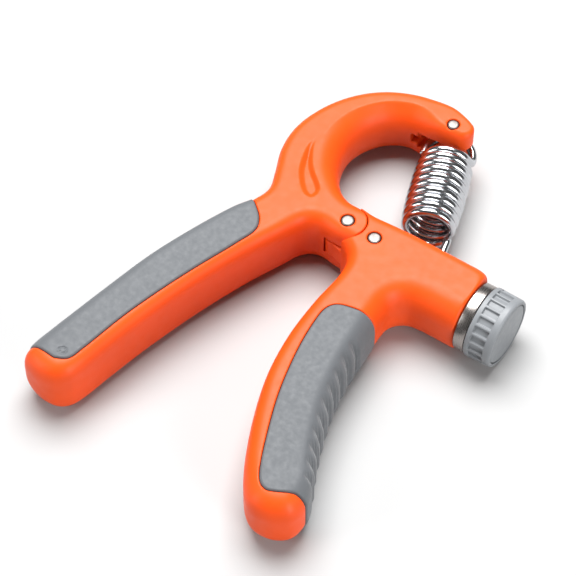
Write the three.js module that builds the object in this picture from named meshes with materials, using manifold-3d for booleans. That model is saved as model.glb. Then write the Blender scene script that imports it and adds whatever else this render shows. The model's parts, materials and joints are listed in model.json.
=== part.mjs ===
// Adjustable hand grip strengthener: two hinged handles, an extension spring and a screw adjuster.
//
// Everything is laid out from the handle pivot: the pivot axis is X = Y = 0 and the handles'
// mid-plane is Z = 0. X runs out along the adjuster screw, Y runs up towards the spring hook
// and Z is the thickness. The finished group is then moved so that its origin is the centre
// of the footprint it lies on. All sizes are in millimetres.

import * as THREE from 'three';
import { mergeVertices } from 'three/addons/utils/BufferGeometryUtils.js';
import Module from 'manifold-3d';

const wasm = await Module();
wasm.setup();

// ---------------------------------------------------------------- driving dimensions

const FOOTPRINT_CENTRE = new THREE.Vector2( 2.5, - 22.5 );
const HALF_THICKNESS = 12.5;
const EDGE_RADIUS = 3.6;
const GAP = 0.3;
const OUTSIDE = HALF_THICKNESS + 1;

const PIVOT = new THREE.Vector2( 0, 0 );
const PIVOT_PIN_RADIUS = 2.2;
const EAR_RADIUS = 6.5;
const TONGUE_RADIUS = 7.4;
const TONGUE_HALF_THICKNESS = 3.5;
const STOP_X = 0.4;
const PIN_INSET = 0.25;

const SPRING_PIN = new THREE.Vector2( 8.1, 54.6 );
const SPRING_PIN_RADIUS = 1.95;
const HOOK_SLOT_HALF_WIDTH = 2;
const HOOK_SLOT_START_X = - 5.6;
const HOOK_SLOT_CLEARANCE = 0.4;

const WIRE_RADIUS = 1.3;
const COIL_MEAN_RADIUS = 8.5;
const LOWER_LOOP_RADIUS = 7.2;
const COIL_START = 7.6;
const COIL_END = 38.8;
const COIL_TURNS = 10;
const LOOP_TO_COIL_GAP = 0.7;

const AXIS_Y = - 2.8;
const SCREW_RADIUS = 2.5;
const SCREW_TAIL_X = 14.2;
const SCREW_SHOULDER_X = 17.2;
const SCREW_HEAD_X = 59.2;
const JOURNAL_RADIUS = 1.6;
const DRIVE_HALF_WIDTH = 1.8;
const TAPPED_HOLE_RADIUS = 1.5;
const TAPPED_HOLE_DEPTH = 7;
const ANCHOR_PIN = new THREE.Vector2( 11.3, - 1.2 );
const BEARING_RADIUS = 3.7;
const BEARING_START_X = 8.2;
const BEARING_END_X = 16.7;

const CARRIAGE_PIN = new THREE.Vector2( 24.5, 5.6 );
const CARRIAGE_PIN_RADIUS = 1.75;
const CARRIAGE_HALF_LENGTH = 4.5;
const CARRIAGE_RADIUS = 5.6;
const CHEEK_INNER = 1.7;
const CHEEK_OUTER = 3.9;
const CHEEK_HALF_LENGTH = 3.4;
const CHEEK_TOP_RADIUS = 2.4;
const WIRE_SLOT_FLOOR_Y = 0.8;

const HOUSING_END_X = 50.3;
const HOUSING_TOP_Y = 8.6;
const HOUSING_BOTTOM_Y = - 14.2;
const WINDOW_START_X = 12.4;
const WINDOW_END_X = 44.5;
const WINDOW_LEAD_START_X = 9.2;
const WINDOW_LEAD_FLOOR_Y = 4.4;
const COLLAR_RADIUS = 12.1;
const COLLAR_END_X = 54.5;
const SPIGOT_START_X = 45;
const KNOB_RADIUS = 12.5;
const KNOB_START_X = 54.8;
const KNOB_END_X = 64.6;
const KNOB_POCKETS = 22;
const KNOB_POCKET_DEPTH = 0.75;
const KNOB_POCKET_WIDTH = 2.5;
const KNOB_POCKET_LENGTH = 5.2;
const KNOB_POCKET_CENTRE_X = 59.2;
const KNOB_FRONT_BAND_X = 62.2;
const KNOB_CUP_RADIUS = 7.6;
const WASHER_RADIUS = 6.4;
const WASHER_THICKNESS = 0.9;
const CAP_RADIUS = 10.7;
const CAP_SEAT_DEPTH = 1.7;
const CAP_INSET = 0.1;
const CAP_SCREW_RADIUS = 1.2;
const CAP_SCREW_LENGTH = 5.8;
const CAP_SCREW_HEAD_RADIUS = 4.2;
const CAP_SCREW_HEAD_HEIGHT = 1.3;

const PAD_THICKNESS = 2.4;
const RIB_COUNT = 11;
const RIB_GROOVE_RADIUS = 1.5;

const FACETS = 32;

// ---------------------------------------------------------------- materials

function plastic( color, roughness ) {

	return new THREE.MeshStandardMaterial( { color, roughness, metalness: 0 } );

}

function metal( color, roughness ) {

	return new THREE.MeshStandardMaterial( { color, roughness, metalness: 1 } );

}

const ORANGE_PLASTIC = plastic( 0xf4713a, 0.45 );
const GREY_RUBBER = plastic( 0xa0a5a9, 0.7 );
const GREY_PLASTIC = plastic( 0x9a9ca3, 0.5 );
const WHITE_NYLON = plastic( 0xe6e4dc, 0.5 );
const PIN_STEEL = metal( 0xe2e2e0, 0.3 );
const BRUSHED_STEEL = metal( 0xc4c2be, 0.35 );
const CHROMED_WIRE = metal( 0xdcdde0, 0.08 );
const BRASS = metal( 0xc9a54c, 0.35 );

// ---------------------------------------------------------------- solids and booleans

function solidOf( geometry ) {

	const bare = geometry.clone();
	bare.deleteAttribute( 'normal' );
	bare.deleteAttribute( 'uv' );
	const merged = mergeVertices( bare, 1e-4 );
	const corners = merged.index.array;
	const kept = [];
	for ( let i = 0; i < corners.length; i += 3 ) {

		const [ a, b, c ] = corners.slice( i, i + 3 );
		if ( a !== b && b !== c && c !== a ) kept.push( a, b, c );

	}

	return new wasm.Manifold( new wasm.Mesh( {
		numProp: 3,
		vertProperties: new Float32Array( merged.attributes.position.array ),
		triVerts: new Uint32Array( kept )
	} ) );

}

function geometryOf( solid ) {

	const mesh = solid.getMesh();
	const geometry = new THREE.BufferGeometry();
	const positions = new Float32Array( mesh.vertProperties );
	const corners = new Uint32Array( mesh.triVerts );
	geometry.setAttribute( 'position', new THREE.BufferAttribute( positions, 3 ) );
	geometry.setIndex( new THREE.BufferAttribute( corners, 1 ) );
	geometry.computeVertexNormals();
	return geometry;

}

// A flat plate: the shape, from z = low to z = high.
function plate( shape, low, high, curveSegments = 6 ) {

	const geometry = new THREE.ExtrudeGeometry( shape, {
		depth: high - low, bevelEnabled: false, curveSegments
	} );
	return solidOf( geometry.translate( 0, 0, low ) );

}

// A plate centred on z = 0 whose edges are rounded over, shrunk all round by inset.
function roundedPlate( shape, halfThickness, radius, inset = 0, curveSegments = 2 ) {

	const geometry = new THREE.ExtrudeGeometry( shape, {
		depth: 2 * ( halfThickness - radius ),
		bevelThickness: radius,
		bevelSize: radius,
		bevelOffset: - radius - inset,
		bevelSegments: 2,
		curveSegments
	} );
	return solidOf( geometry.translate( 0, 0, radius - halfThickness ) );

}

// A round bar through the thickness, centred on a point of the plan.
function barAlongZ( centre, radius, low, high, facets = FACETS ) {

	const geometry = new THREE.CylinderGeometry( radius, radius, high - low, facets );
	geometry.rotateX( Math.PI / 2 );
	return solidOf( geometry.translate( centre.x, centre.y, ( low + high ) / 2 ) );

}

// A turned piece on the adjuster's axis: the profile lists [ x, radius ] and closes on itself.
function turned( profile, facets = FACETS ) {

	const outline = profile.map( ( [ x, radius ] ) => new THREE.Vector2( radius, x ) );
	const geometry = new THREE.LatheGeometry( outline, facets );
	geometry.rotateZ( - Math.PI / 2 );
	return solidOf( geometry.translate( 0, AXIS_Y, 0 ) );

}

function barAlongX( radius, start, end, facets = FACETS ) {

	return turned( [ [ start, 0 ], [ start, radius ], [ end, radius ], [ end, 0 ] ], facets );

}

function box( lowX, highX, lowY, highY, lowZ, highZ ) {

	const geometry = new THREE.BoxGeometry( highX - lowX, highY - lowY, highZ - lowZ );
	return solidOf( geometry.translate( ( lowX + highX ) / 2, ( lowY + highY ) / 2, ( lowZ + highZ ) / 2 ) );

}

function vectors( points ) {

	return points.map( ( [ x, y ] ) => new THREE.Vector2( x, y ) );

}

function addArc( shape, [ x, y, radius, fromDegrees, toDegrees ] ) {

	const from = THREE.MathUtils.degToRad( fromDegrees );
	const to = THREE.MathUtils.degToRad( toDegrees );
	shape.absarc( x, y, radius, from, to, toDegrees < fromDegrees );

}

// A closed outline of runs: smooth or straight ones through their points, and round arcs
// given as [ centre x, centre y, radius, first degree, last degree ].
function outline( start, runs ) {

	const shape = new THREE.Shape();
	shape.moveTo( ...start );
	for ( const run of runs ) {

		if ( run.smooth ) shape.splineThru( vectors( run.smooth ) );
		if ( run.straight ) run.straight.forEach( ( point ) => shape.lineTo( ...point ) );
		if ( run.arc ) addArc( shape, run.arc );

	}

	shape.closePath();
	return shape;

}

function piece( name, solid, material ) {

	const mesh = new THREE.Mesh( geometryOf( solid ), material );
	mesh.name = name;
	return mesh;

}

// ---------------------------------------------------------------- the spring's own line

const SPRING_REACH = CARRIAGE_PIN.clone().sub( SPRING_PIN ).length();
const SPRING_DOWN = CARRIAGE_PIN.clone().sub( SPRING_PIN ).normalize();
const SPRING_SIDE = new THREE.Vector2( - SPRING_DOWN.y, SPRING_DOWN.x );

// How far a loop's wire centre lies beyond the pin that it hangs on.
function loopReach( pinRadius ) {

	return pinRadius + GAP + WIRE_RADIUS;

}

// A point of the spring: distance down its line from the upper pin, sideways, and up.
function onSpring( along, sideways, up = 0 ) {

	return new THREE.Vector3(
		SPRING_PIN.x + along * SPRING_DOWN.x + sideways * SPRING_SIDE.x,
		SPRING_PIN.y + along * SPRING_DOWN.y + sideways * SPRING_SIDE.y,
		up
	);

}

// ---------------------------------------------------------------- handle outlines

// Palm handle with the spring hook, run on past the pivot for the joint to be cut from it.
const PALM_OUTLINE = outline( [ 22, 8.2 ], [
	{ straight: [ [ 6, 8.1 ] ] },
	{ smooth: [ [ 0, 8.5 ], [ - 5, 9.6 ], [ - 10, 12.8 ], [ - 14.8, 18.8 ], [ - 17.8, 25.5 ],
		[ - 18.7, 32.5 ], [ - 17, 39.5 ], [ - 12.6, 45.8 ], [ - 6.5, 49.3 ], [ 1, 49.9 ] ] },
	{ arc: [ 11.9, 54.6, 4.7, - 90, 55 ] },
	{ smooth: [ [ 10, 60.6 ], [ 4, 62.3 ], [ - 4, 62 ], [ - 12, 59.9 ],
		[ - 20, 55.8 ], [ - 27, 49.7 ], [ - 32.8, 41.5 ], [ - 36.6, 32 ], [ - 37.9, 23 ], [ - 36.6, 14 ],
		[ - 33.2, 5.5 ], [ - 30.7, - 2 ], [ - 32.4, - 8.6 ], [ - 36.4, - 15.6 ], [ - 42.2, - 29.5 ],
		[ - 48.2, - 47 ], [ - 53.2, - 67 ], [ - 57.4, - 85 ], [ - 60.4, - 95.6 ], [ - 59.6, - 101.6 ],
		[ - 53.2, - 104.5 ], [ - 46.2, - 104.1 ], [ - 41.9, - 100.4 ], [ - 40, - 94.5 ], [ - 37.9, - 84 ],
		[ - 34.2, - 67.5 ], [ - 28.6, - 47.5 ], [ - 22, - 29.3 ], [ - 15.9, - 15.6 ], [ - 12.3, - 8.4 ],
		[ - 8.2, - 5.9 ], [ - 3, - 6 ] ] },
	{ straight: [ [ 22, - 6.6 ] ] }
] );

// Finger handle: the adjuster housing on top and the curved grip below it. The housing runs
// on past its end, where it is cut off square after its edges are rounded.
const HOUSING_BLANK_END_X = HOUSING_END_X + 6;
const FINGER_OUTLINE = outline( [ - 16, 8.7 ], [
	{ straight: [ [ 0, 8.7 ] ] },
	{ smooth: [ [ 6, 7.9 ], [ 13, 8.3 ], [ 20, 8.6 ] ] },
	{ straight: [ [ HOUSING_BLANK_END_X, HOUSING_TOP_Y ], [ HOUSING_BLANK_END_X, HOUSING_BOTTOM_Y ],
		[ 38, HOUSING_BOTTOM_Y ] ] },
	{ smooth: [ [ 33, - 14.9 ], [ 29.6, - 18 ], [ 28.4, - 23 ], [ 28.8, - 36 ], [ 30, - 49 ], [ 33, - 63 ],
		[ 38.2, - 77.5 ], [ 44.6, - 90.5 ], [ 47, - 97.6 ], [ 45.6, - 103.4 ], [ 40.4, - 107.1 ],
		[ 33.6, - 107.6 ], [ 28.2, - 104.2 ], [ 22.1, - 95 ], [ 15.1, - 79.6 ], [ 10, - 63.7 ],
		[ 7.5, - 47.5 ], [ 7.3, - 32 ],
		[ 8, - 19 ], [ 6.8, - 12 ], [ 3, - 8 ], [ - 2, - 6.3 ] ] },
	{ straight: [ [ - 16, - 6 ] ] }
] );

// ---------------------------------------------------------------- grip pads

const PALM_PAD_INNER = [ [ - 29.5, - 11.5 ], [ - 25.4, - 15.4 ], [ - 23.6, - 20.5 ], [ - 26, - 28.5 ],
	[ - 33.2, - 49 ], [ - 39.4, - 70.5 ], [ - 43.2, - 89 ], [ - 45, - 95.7 ], [ - 49, - 98.2 ] ];
const FINGER_PAD_INNER = [ [ 30.6, - 27.2 ], [ 27, - 27.2 ], [ 22, - 27.7 ], [ 16.6, - 29.5 ],
	[ 14, - 34 ], [ 14.5, - 46 ], [ 17.2, - 64 ], [ 23.4, - 85 ], [ 30, - 96.8 ], [ 35.2, - 100.4 ],
	[ 41, - 97.4 ] ];

// Moves each point of a run sideways, to the left of its direction of travel.
function shifted( points, distance ) {

	return points.map( ( point, i ) => {

		const before = points[ Math.max( i - 1, 0 ) ];
		const after = points[ Math.min( i + 1, points.length - 1 ) ];
		const along = new THREE.Vector2( after[ 0 ] - before[ 0 ], after[ 1 ] - before[ 1 ] ).normalize();
		return [ point[ 0 ] - along.y * distance, point[ 1 ] + along.x * distance ];

	} );

}

// The part of the plan that a pad covers, widened by a margin along its inner edge.
function palmPadZone( margin ) {

	return outline( [ - 70, - 8 + margin ], [
		{ straight: [ [ - 34, - 8 + margin ] ] },
		{ smooth: shifted( PALM_PAD_INNER, margin ) },
		{ straight: [ [ - 53, - 97.9 - margin ], [ - 70, - 97 - margin ] ] }
	] );

}

function fingerPadZone( margin ) {

	return outline( [ 60, - 28.6 + margin ], [
		{ straight: [ [ 34, - 28.2 + margin ] ] },
		{ smooth: shifted( FINGER_PAD_INNER, - margin ) },
		{ straight: [ [ 44.6, - 95.2 - margin ], [ 60, - 96.4 - margin ] ] }
	] );

}

// The core that stays under a pad: the handle itself, thinner and narrower by the pad.
function padCore( shape, extra ) {

	const thinner = PAD_THICKNESS + extra;
	return roundedPlate( shape, HALF_THICKNESS - thinner, EDGE_RADIUS - PAD_THICKNESS, thinner );

}

// A pad is the skin of the handle inside its zone; the frame keeps the rest.
function splitPad( whole, shape, zone ) {

	const pad = whole.intersect( plate( zone( 0 ), - OUTSIDE, OUTSIDE ) ).subtract( padCore( shape, 0 ) );
	const pocket = plate( zone( GAP ), - OUTSIDE, OUTSIDE ).subtract( padCore( shape, GAP ) );
	return { pad, frame: whole.subtract( pocket ) };

}

// Finger ribs: round grooves through the thickness, spaced evenly along the outer edge.
function ribGrooves() {

	const edge = new THREE.CatmullRomCurve3( [
		new THREE.Vector3( 29.9, - 34.5, 0 ), new THREE.Vector3( 30.6, - 48, 0 ),
		new THREE.Vector3( 34.2, - 63, 0 ), new THREE.Vector3( 39.2, - 77, 0 ),
		new THREE.Vector3( 46, - 90.5, 0 )
	] );
	return edge.getSpacedPoints( RIB_COUNT - 1 ).map( ( point ) =>
		barAlongZ( point, RIB_GROOVE_RADIUS, - OUTSIDE, OUTSIDE, 8 ) );

}

// ---------------------------------------------------------------- handle joint

// Both cheeks of the finger handle clear the palm handle's ears; the tongue fills the middle.
function cutFingerJoint( whole ) {

	const earRoom = barAlongZ( PIVOT, EAR_RADIUS + GAP, - OUTSIDE, OUTSIDE )
		.add( box( - 20, STOP_X + GAP, 0, 12, - OUTSIDE, OUTSIDE ) )
		.add( box( - 20, 1.6, - 12, 0, - OUTSIDE, OUTSIDE ) )
		.subtract( box( - 30, 30, - 30, 30, - TONGUE_HALF_THICKNESS, TONGUE_HALF_THICKNESS ) );
	const beyondTongue = box( - 20, 0, - 20, 20, - OUTSIDE, OUTSIDE )
		.subtract( barAlongZ( PIVOT, TONGUE_RADIUS, - OUTSIDE, OUTSIDE ) );
	const bore = barAlongZ( PIVOT, PIVOT_PIN_RADIUS + GAP, - OUTSIDE, OUTSIDE );
	return whole.subtract( earRoom ).subtract( beyondTongue ).subtract( bore );

}

// The palm handle ends in two round ears with a slot between them for the tongue.
function cutPalmJoint( whole ) {

	const beyondEar = box( STOP_X, 30, 0, 12, - OUTSIDE, OUTSIDE )
		.add( box( 0, 30, - 12, 0, - OUTSIDE, OUTSIDE ) )
		.subtract( barAlongZ( PIVOT, EAR_RADIUS, - OUTSIDE, OUTSIDE ) );
	const slotHalf = TONGUE_HALF_THICKNESS + GAP;
	const slot = barAlongZ( PIVOT, TONGUE_RADIUS + GAP, - slotHalf, slotHalf )
		.add( box( - 3, 30, 0, 12, - slotHalf, slotHalf ) )
		.add( box( 0, 30, - 12, 0, - slotHalf, slotHalf ) );
	const bore = barAlongZ( PIVOT, PIVOT_PIN_RADIUS + GAP, - OUTSIDE, OUTSIDE );
	return whole.subtract( beyondEar ).subtract( slot ).subtract( bore );

}

// Mid-plane slot in the hook's tip, where the spring's upper loop swings on its pin.
function hookSlot() {

	const bend = onSpring( COIL_MEAN_RADIUS - loopReach( SPRING_PIN_RADIUS ), 0 );
	const room = COIL_MEAN_RADIUS + WIRE_RADIUS + HOOK_SLOT_CLEARANCE;
	const shape = outline( [ HOOK_SLOT_START_X, 44 ], [
		{ straight: [ [ 24, 44 ], [ 24, 55 ] ] },
		{ arc: [ bend.x, bend.y, room, 30, 160 ] },
		{ straight: [ [ HOOK_SLOT_START_X, 51.5 ] ] }
	] );
	return plate( shape, - HOOK_SLOT_HALF_WIDTH, HOOK_SLOT_HALF_WIDTH );

}

// ---------------------------------------------------------------- adjuster housing

// Room inside the housing for the screw's end bearing, the screw and the sliding carriage.
function housingRoom() {

	const channel = CHEEK_OUTER + GAP;
	const above = HOUSING_TOP_Y + 4;
	const bearingRoom = barAlongX( BEARING_RADIUS + GAP, BEARING_START_X - GAP, BEARING_END_X + 1 );
	const carriageRoom = barAlongX( CARRIAGE_RADIUS + GAP, BEARING_END_X, HOUSING_END_X + 1 );
	const window = box( WINDOW_START_X, WINDOW_END_X, AXIS_Y, above, - channel, channel );
	const windowLead = box(
		WINDOW_LEAD_START_X, WINDOW_START_X + 1, WINDOW_LEAD_FLOOR_Y, above, - channel, channel
	);
	return bearingRoom.add( carriageRoom ).add( window ).add( windowLead );

}

function handles() {

	const palmWhole = roundedPlate( PALM_OUTLINE, HALF_THICKNESS, EDGE_RADIUS );
	const palm = splitPad( palmWhole, PALM_OUTLINE, palmPadZone );
	const springPinBore = barAlongZ( SPRING_PIN, SPRING_PIN_RADIUS + GAP, - OUTSIDE, OUTSIDE );
	const palmFrame = cutPalmJoint( palm.frame ).subtract( hookSlot() ).subtract( springPinBore );

	const fingerWhole = roundedPlate( FINGER_OUTLINE, HALF_THICKNESS, EDGE_RADIUS );
	const finger = splitPad( fingerWhole, FINGER_OUTLINE, fingerPadZone );
	const anchorBore = barAlongZ( ANCHOR_PIN, PIVOT_PIN_RADIUS + GAP, - OUTSIDE, OUTSIDE );
	const housingEnd = box(
		HOUSING_END_X, HOUSING_BLANK_END_X + 1, HOUSING_BOTTOM_Y - 1, HOUSING_TOP_Y + 1, - OUTSIDE, OUTSIDE
	);
	const fingerFrame = cutFingerJoint( finger.frame )
		.subtract( housingRoom() )
		.subtract( anchorBore )
		.subtract( housingEnd );
	const fingerPad = ribGrooves().reduce( ( pad, groove ) => pad.subtract( groove ), finger.pad );

	return [
		piece( 'palm_handle_frame', palmFrame, ORANGE_PLASTIC ),
		piece( 'palm_grip_pad', palm.pad, GREY_RUBBER ),
		piece( 'finger_handle_frame', fingerFrame, ORANGE_PLASTIC ),
		piece( 'finger_grip_pad', fingerPad, GREY_RUBBER )
	];

}

// ---------------------------------------------------------------- pins

function pins() {

	const end = HALF_THICKNESS - PIN_INSET;
	const carriagePin = barAlongZ( CARRIAGE_PIN, CARRIAGE_PIN_RADIUS, - CHEEK_OUTER, CHEEK_OUTER, 20 );
	return [
		piece( 'pivot_pin', barAlongZ( PIVOT, PIVOT_PIN_RADIUS, - end, end ), PIN_STEEL ),
		piece( 'spring_top_pin', barAlongZ( SPRING_PIN, SPRING_PIN_RADIUS, - end, end ), PIN_STEEL ),
		piece( 'screw_anchor_pin', barAlongZ( ANCHOR_PIN, PIVOT_PIN_RADIUS, - end, end ), PIN_STEEL ),
		piece( 'carriage_pin', carriagePin, PIN_STEEL )
	];

}

// ---------------------------------------------------------------- adjuster

const KNOB_FLOOR_X = KNOB_START_X + WASHER_THICKNESS + GAP;
const KNOB_CUP_X = SCREW_HEAD_X + GAP;
const CAP_SEAT_X = KNOB_END_X - CAP_SEAT_DEPTH;

// Brass socket for the screw's inner end, notched where the anchor pin locks it in place.
function endBearing() {

	const blank = barAlongX( BEARING_RADIUS, BEARING_START_X, BEARING_END_X, 24 );
	const journalBore = barAlongX( JOURNAL_RADIUS + GAP, SCREW_TAIL_X - GAP, BEARING_END_X + 1, 16 );
	const notch = barAlongZ( ANCHOR_PIN, PIVOT_PIN_RADIUS + GAP, - OUTSIDE, OUTSIDE );
	return blank.subtract( journalBore ).subtract( notch );

}

// Both sides of a bar along X beyond a half width, which leaves two flats when cut away.
function besideFlats( radius, start, end, halfWidth ) {

	const side = ( low, high ) => box( start, end, AXIS_Y - radius, AXIS_Y + radius, low, high );
	return side( halfWidth, radius ).add( side( - radius, - halfWidth ) );

}

// The shank runs to the knob's floor at full width; two flats beyond it drive the knob.
function screw() {

	const journal = barAlongX( JOURNAL_RADIUS, SCREW_TAIL_X, SCREW_SHOULDER_X + 1, 16 );
	const shank = barAlongX( SCREW_RADIUS, SCREW_SHOULDER_X, SCREW_HEAD_X, 24 );
	const flats = besideFlats( SCREW_RADIUS + 1, KNOB_FLOOR_X - GAP, SCREW_HEAD_X + 1, DRIVE_HALF_WIDTH );
	const tappedHole = barAlongX( TAPPED_HOLE_RADIUS, SCREW_HEAD_X - TAPPED_HOLE_DEPTH, SCREW_HEAD_X + 1, 12 );
	return journal.add( shank ).subtract( flats ).subtract( tappedHole );

}

// The nut that the screw drives: a barrel with two cheeks that carry the lower spring pin.
function carriage() {

	const low = CARRIAGE_PIN.x - CARRIAGE_HALF_LENGTH;
	const high = CARRIAGE_PIN.x + CARRIAGE_HALF_LENGTH;
	const barrel = barAlongX( CARRIAGE_RADIUS, low, high, 24 );
	const cheekFoot = box(
		CARRIAGE_PIN.x - CHEEK_HALF_LENGTH, CARRIAGE_PIN.x + CHEEK_HALF_LENGTH,
		AXIS_Y, CARRIAGE_PIN.y, - CHEEK_OUTER, CHEEK_OUTER
	);
	const cheekTop = barAlongZ( CARRIAGE_PIN, CHEEK_TOP_RADIUS, - CHEEK_OUTER, CHEEK_OUTER, 24 );
	const wireSlot = box( low - 1, high + 1, WIRE_SLOT_FLOOR_Y, 12, - CHEEK_INNER, CHEEK_INNER );
	const screwBore = barAlongX( SCREW_RADIUS + GAP, low - 1, high + 1, 24 );
	const pinBore = barAlongZ( CARRIAGE_PIN, CARRIAGE_PIN_RADIUS + GAP, - OUTSIDE, OUTSIDE, 20 );
	return barrel.add( cheekFoot ).add( cheekTop )
		.subtract( wireSlot )
		.subtract( screwBore )
		.subtract( pinBore );

}

// Steel ring on the housing's end, with a spigot that centres it and carries the screw.
function collar() {

	const start = HOUSING_END_X + GAP;
	return turned( [
		[ SPIGOT_START_X, SCREW_RADIUS + GAP ],
		[ SPIGOT_START_X, CARRIAGE_RADIUS ],
		[ start, CARRIAGE_RADIUS ],
		[ start, COLLAR_RADIUS ],
		[ COLLAR_END_X, COLLAR_RADIUS ],
		[ COLLAR_END_X, SCREW_RADIUS + GAP ],
		[ SPIGOT_START_X, SCREW_RADIUS + GAP ]
	], 48 );

}

function thrustWasher() {

	const end = KNOB_START_X + WASHER_THICKNESS;
	return turned( [
		[ KNOB_START_X, SCREW_RADIUS + GAP ],
		[ KNOB_START_X, WASHER_RADIUS ],
		[ end, WASHER_RADIUS ],
		[ end, SCREW_RADIUS + GAP ],
		[ KNOB_START_X, SCREW_RADIUS + GAP ]
	] );

}

// The knob without its pockets: a base flange, a front band, a rounded rim and a seat for the
// cap, with a washer seat behind and a cup in front of the floor that the screw drives.
function knobBlank() {

	const chamfer = 0.3;
	const boreRadius = SCREW_RADIUS + GAP;
	const blank = turned( [
		[ KNOB_START_X, WASHER_RADIUS + GAP ],
		[ KNOB_START_X, KNOB_RADIUS - chamfer ],
		[ KNOB_START_X + chamfer, KNOB_RADIUS ],
		[ KNOB_FRONT_BAND_X, KNOB_RADIUS - 0.2 ],
		[ KNOB_END_X - 0.6, KNOB_RADIUS - 0.5 ],
		[ KNOB_END_X, KNOB_RADIUS - 1.1 ],
		[ KNOB_END_X, CAP_RADIUS + GAP ],
		[ CAP_SEAT_X, CAP_RADIUS + GAP ],
		[ CAP_SEAT_X, KNOB_CUP_RADIUS ],
		[ KNOB_CUP_X, KNOB_CUP_RADIUS ],
		[ KNOB_CUP_X, boreRadius ],
		[ KNOB_FLOOR_X, boreRadius ],
		[ KNOB_FLOOR_X, WASHER_RADIUS + GAP ],
		[ KNOB_START_X, WASHER_RADIUS + GAP ]
	], 2 * KNOB_POCKETS );
	const driveFlats = besideFlats( boreRadius + 0.5, KNOB_FLOOR_X, KNOB_CUP_X, DRIVE_HALF_WIDTH + GAP );
	return blank.add( driveFlats );

}

function knob() {

	let solid = knobBlank();
	for ( let i = 0; i < KNOB_POCKETS; i ++ ) {

		const pocket = new THREE.BoxGeometry( KNOB_POCKET_LENGTH, KNOB_POCKET_WIDTH, 2 * KNOB_POCKET_DEPTH );
		pocket.translate( KNOB_POCKET_CENTRE_X, 0, KNOB_RADIUS );
		pocket.rotateX( ( i + 0.5 ) / KNOB_POCKETS * 2 * Math.PI );
		solid = solid.subtract( solidOf( pocket.translate( 0, AXIS_Y, 0 ) ) );

	}

	return solid;

}

function knobCap() {

	return barAlongX( CAP_RADIUS, CAP_SEAT_X + GAP, KNOB_END_X - CAP_INSET, 44 );

}

// Pan-head screw whose head clamps the knob's floor against the screw's shoulder.
function knobScrew() {

	const head = KNOB_CUP_X + GAP;
	return turned( [
		[ head - CAP_SCREW_LENGTH, 0 ],
		[ head - CAP_SCREW_LENGTH, CAP_SCREW_RADIUS ],
		[ head, CAP_SCREW_RADIUS ],
		[ head, CAP_SCREW_HEAD_RADIUS ],
		[ head + CAP_SCREW_HEAD_HEIGHT, CAP_SCREW_HEAD_RADIUS - 0.8 ],
		[ head + CAP_SCREW_HEAD_HEIGHT, 0 ]
	], 20 );

}

function adjuster() {

	return [
		piece( 'screw_end_bearing', endBearing(), BRASS ),
		piece( 'adjuster_screw', screw(), BRUSHED_STEEL ),
		piece( 'spring_carriage', carriage(), BRASS ),
		piece( 'adjuster_collar', collar(), BRUSHED_STEEL ),
		piece( 'thrust_washer', thrustWasher(), WHITE_NYLON ),
		piece( 'adjuster_knob', knob(), GREY_PLASTIC ),
		piece( 'knob_end_cap', knobCap(), GREY_PLASTIC ),
		piece( 'knob_retaining_screw', knobScrew(), BRUSHED_STEEL )
	];

}

// ---------------------------------------------------------------- spring

class SpringCoil extends THREE.Curve {

	getPoint( t, target = new THREE.Vector3() ) {

		const angle = t * COIL_TURNS * 2 * Math.PI;
		const along = THREE.MathUtils.lerp( COIL_START, COIL_END, t );
		const sideways = COIL_MEAN_RADIUS * Math.cos( angle );
		return target.copy( onSpring( along, sideways, COIL_MEAN_RADIUS * Math.sin( angle ) ) );

	}

}

function wire( curve, steps, facets = 8 ) {

	const round = new THREE.EllipseCurve( 0, 0, WIRE_RADIUS, WIRE_RADIUS );
	const section = new THREE.Shape( round.getPoints( facets ) );
	return solidOf( new THREE.ExtrudeGeometry( section, { steps, extrudePath: curve } ) );

}

// A loop in the mid-plane: two legs beside the spring's line and a half round over the pin.
function springLoop( { legStart, pinAlong, pinRadius, loopRadius, outward } ) {

	const crown = pinAlong + outward * loopReach( pinRadius );
	const bend = crown - outward * loopRadius;
	const points = [ onSpring( legStart, - loopRadius ) ];
	const bendSteps = 10;
	for ( let i = 0; i <= bendSteps; i ++ ) {

		const angle = i / bendSteps * Math.PI;
		const along = bend + outward * loopRadius * Math.sin( angle );
		points.push( onSpring( along, - loopRadius * Math.cos( angle ) ) );

	}

	points.push( onSpring( legStart, loopRadius ) );
	return wire( new THREE.CatmullRomCurve3( points ), 24 );

}

function spring() {

	const clear = WIRE_RADIUS + LOOP_TO_COIL_GAP;
	const coil = wire( new SpringCoil(), Math.round( COIL_TURNS * 14 ), 6 );
	const upper = springLoop( {
		legStart: COIL_START - clear,
		pinAlong: 0,
		pinRadius: SPRING_PIN_RADIUS,
		loopRadius: COIL_MEAN_RADIUS,
		outward: - 1
	} );
	const lower = springLoop( {
		legStart: COIL_END + clear,
		pinAlong: SPRING_REACH,
		pinRadius: CARRIAGE_PIN_RADIUS,
		loopRadius: LOWER_LOOP_RADIUS,
		outward: 1
	} );
	return [
		piece( 'spring_upper_loop', upper, CHROMED_WIRE ),
		piece( 'spring_coil', coil, CHROMED_WIRE ),
		piece( 'spring_lower_loop', lower, CHROMED_WIRE )
	];

}

// ---------------------------------------------------------------- assembly

const group = new THREE.Group();
group.add( ...handles(), ...pins(), ...adjuster(), ...spring() );
group.position.set( - FOOTPRINT_CENTRE.x, - FOOTPRINT_CENTRE.y, HALF_THICKNESS );

export default group;
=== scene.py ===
"""Adjustable hand grip strengthener: fine surfaces, materials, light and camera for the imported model.

Shapes are worked out in millimetres from the handle pivot, as the model is: X runs out along the
adjuster screw, Y up towards the spring hook and Z through the thickness. to_frame() turns them into
the frame's metres. Moulded and machined pieces are closed surfaces taken from distance functions,
turned pieces are revolved round the adjuster's axis, and the spring is a swept wire.
"""

import json
import math

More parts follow.
